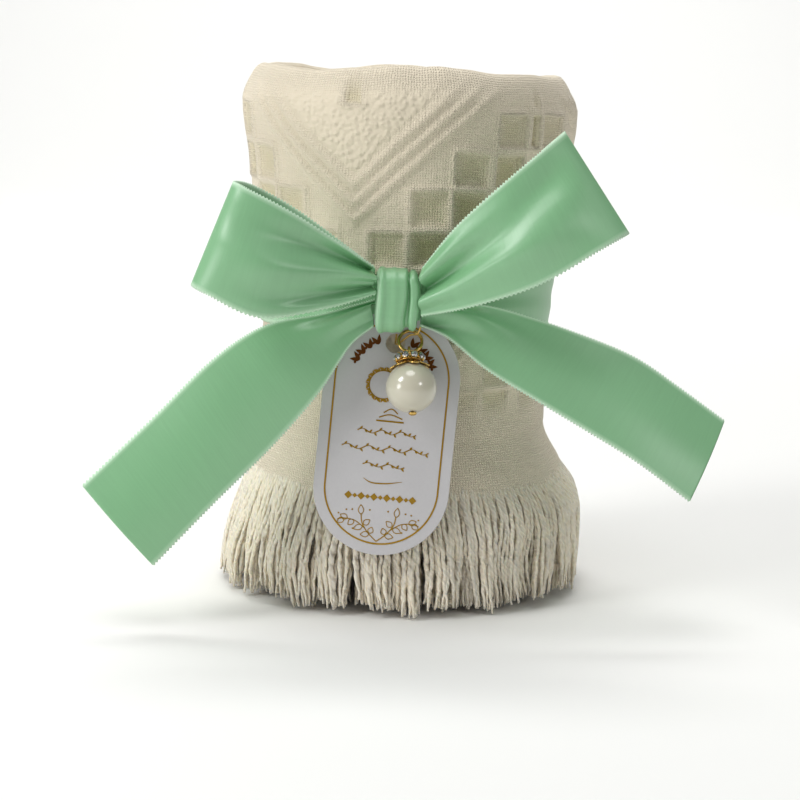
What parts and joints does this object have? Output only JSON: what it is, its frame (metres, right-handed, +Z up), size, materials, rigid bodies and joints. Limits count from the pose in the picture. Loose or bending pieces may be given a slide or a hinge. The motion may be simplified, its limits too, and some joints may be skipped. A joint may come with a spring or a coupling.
{
  "type": "bath towel set",
  "caption": "Small fringed cotton jacquard towel, folded and rolled upright, tied with a satin ribbon bow that carries a card tag and a pearl charm.",
  "frame": {"origin": "where the roll's axis meets the surface that the fringe stands on", "axes": "+Z up along the roll's axis, -Y towards the front, where the bow and the tag are, +X to the right seen from the front"},
  "size_m": [0.1493, 0.1076, 0.132],
  "materials": {
    "cotton_cloth": "cream jacquard cotton, raised seed weave with stepped squares, matt",
    "cotton_fringe": "loose twisted cotton yarns, matt",
    "satin_ribbon": "mint polyester satin with a fine picot selvage, soft gloss",
    "tag_card": "smooth coated white card with gold foil print",
    "gold_thread": "thin gold wire thread",
    "gold_metal": "bright gold plating",
    "pearl": "imitation pearl, pearlescent coat",
    "rhinestone": "clear cut rhinestone"
  },
  "bodies": {
    "root": {"towel_cloth": "cotton_cloth", "fringe_outer_leaf": "cotton_fringe", "fringe_inner_leaf": "cotton_fringe", "ribbon_waist_band": "satin_ribbon", "ribbon_knot_wrap": "satin_ribbon", "ribbon_knot_core": "satin_ribbon"},
    "thread": {"hang_thread": "gold_thread"},
    "tag": {"tag_card": "tag_card"},
    "ring": {"jump_ring": "gold_metal"},
    "charm": {"eye_pin": "gold_metal", "rhinestone_collar": "gold_metal", "bead_cap": "gold_metal", "pearl": "pearl", "rhinestone_1": "rhinestone", "rhinestone_2": "rhinestone", "rhinestone_3": "rhinestone", "rhinestone_4": "rhinestone", "rhinestone_5": "rhinestone", "rhinestone_6": "rhinestone", "rhinestone_7": "rhinestone", "rhinestone_8": "rhinestone", "rhinestone_9": "rhinestone", "rhinestone_10": "rhinestone"},
    "loop_left": {"ribbon_loop_left": "satin_ribbon"},
    "loop_right": {"ribbon_loop_right": "satin_ribbon"},
    "tail_left": {"ribbon_tail_left": "satin_ribbon"},
    "tail_right": {"ribbon_tail_right": "satin_ribbon"}
  },
  "joints": [
    {"name": "tag_swing", "type": "hinge", "parent": "root", "child": "thread", "pos_m": [-0.0013, -0.04196, 0.0744], "axis": [0, -0.9964, 0.085], "range_deg": [-8, 8], "deforming": ["hang_thread"]},
    {"name": "tag_lift", "type": "hinge", "parent": "thread", "child": "tag", "pos_m": [-0.0013, -0.04196, 0.0744], "axis": [-0.9972, 0.0064, 0.0747], "range_deg": [0, 10]},
    {"name": "ring_swing", "type": "hinge", "parent": "tag", "child": "ring", "pos_m": [0.00178, -0.04338, 0.07006], "axis": [0, -0.9964, 0.085], "range_deg": [-12, 12]},
    {"name": "charm_lift", "type": "hinge", "parent": "ring", "child": "charm", "pos_m": [0.0014, -0.0467, 0.06532], "axis": [-0.9972, 0.0064, 0.0747], "range_deg": [0, 30]},
    {"name": "loop_left_bend", "type": "hinge", "parent": "root", "child": "loop_left", "pos_m": [-0.0071, -0.04863, 0.078], "axis": [0, 0, 1], "range_deg": [-4, 8], "stiffness_Nm_per_rad": 0.004},
    {"name": "loop_right_bend", "type": "hinge", "parent": "root", "child": "loop_right", "pos_m": [0.0039, -0.04863, 0.078], "axis": [0, 0, -1], "range_deg": [-4, 8], "stiffness_Nm_per_rad": 0.004},
    {"name": "tail_left_bend", "type": "hinge", "parent": "root", "child": "tail_left", "pos_m": [-0.0071, -0.04863, 0.075], "axis": [0, 0, 1], "range_deg": [-5, 10], "stiffness_Nm_per_rad": 0.004},
    {"name": "tail_right_bend", "type": "hinge", "parent": "root", "child": "tail_right", "pos_m": [0.0039, -0.04863, 0.075], "axis": [0, 0, -1], "range_deg": [-5, 10], "stiffness_Nm_per_rad": 0.004}
  ]
}
